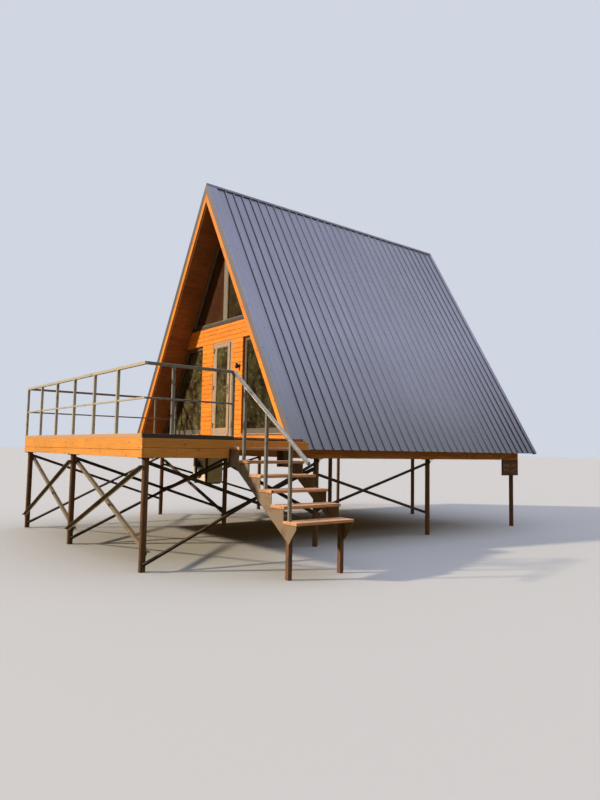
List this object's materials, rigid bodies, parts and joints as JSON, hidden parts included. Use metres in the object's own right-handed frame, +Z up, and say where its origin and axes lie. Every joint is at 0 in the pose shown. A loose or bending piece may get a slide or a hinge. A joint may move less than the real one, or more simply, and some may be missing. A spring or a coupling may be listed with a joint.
{
  "type": "a-frame cabin",
  "caption": "A-frame cabin with a ribbed metal roof down to its floor, glazed front gable with a hinged glass door, timber deck, railing and stair, on steel piles.",
  "frame": {"origin": "centre of the foot of the middle pile under the front gable wall, on the level that all piles and stair feet stand on", "axes": "+X to the right seen from the front, +Y back along the ridge, +Z up; the front gable and the door face -Y"},
  "size_m": [8.2303, 9.647, 6.9543],
  "materials": {
    "roof_metal": "blue-grey painted trapezoidal sheet, satin",
    "soffit_boards": "stained tongue and groove boards, satin",
    "stained_boards": "orange stained softwood boards, satin",
    "fascia_boards": "pale orange stained softwood boards, satin",
    "plain_timber": "sawn softwood, matt",
    "deck_timber": "grooved decking boards, weathered",
    "tread_timber": "softwood treads, worn",
    "window_frame": "graphite foil on window profiles",
    "window_glass": "clear sealed glazing",
    "door_paint": "taupe door profiles, satin",
    "steel_fittings": "satin fittings",
    "lamp_black": "black powder coat",
    "rail_steel": "grey painted square tube",
    "rusty_steel": "brown primed steel with rust",
    "unit_case": "cream powder coat",
    "unit_grille": "dark grey grille"
  },
  "bodies": {
    "cabin": {"roof_sheet_right": "roof_metal", "roof_sheet_left": "roof_metal", "ridge_cap": "roof_metal", "front_flashings": "roof_metal", "rear_flashings": "roof_metal", "roof_panel_right": "soffit_boards", "roof_panel_left": "soffit_boards", "front_bargeboards": "stained_boards", "rear_bargeboards": "stained_boards", "floor_boards": "plain_timber", "floor_joists": "plain_timber", "side_beams": "stained_boards", "end_beams": "stained_boards", "spine_beam": "plain_timber", "loft_floor": "plain_timber", "column_left": "stained_boards", "column_right": "stained_boards", "wall_band": "stained_boards", "sill_walls": "stained_boards", "rear_wall": "stained_boards", "side_window_frame_left": "window_frame", "side_window_frame_right": "window_frame", "side_glass": "window_glass", "upper_window_frame": "window_frame", "upper_glass": "window_glass", "door_frame": "door_paint", "frame_hinges": "steel_fittings", "wall_lamp": "lamp_black", "deck_boards": "deck_timber", "deck_joists": "plain_timber", "deck_rims": "plain_timber", "deck_beam": "plain_timber", "fascia_front": "fascia_boards", "fascia_right": "fascia_boards", "fascia_left": "fascia_boards", "edge_rail": "rail_steel", "railing_front": "rail_steel", "railing_right": "rail_steel", "railing_left": "rail_steel", "stair_stringers": "rusty_steel", "stair_treads": "tread_timber", "stair_hangers": "plain_timber", "stair_feet": "rusty_steel", "handrail": "rail_steel", "deck_piles": "rusty_steel", "house_piles": "rusty_steel", "front_braces": "rusty_steel", "cross_braces": "rusty_steel", "house_braces": "rusty_steel", "air_unit": "unit_case", "air_unit_fan": "unit_grille", "air_unit_hangers": "rusty_steel", "corner_skirt": "plain_timber"},
    "door": {"door_leaf": "door_paint", "door_glass": "window_glass", "door_handle": "steel_fittings", "leaf_hinges": "steel_fittings"}
  },
  "joints": [
    {"name": "door_hinge", "type": "hinge", "parent": "cabin", "child": "door", "pos_m": [-0.346, -0.135, 2.7], "axis": [0, 0, -1], "range_deg": [0, 100]}
  ]
}
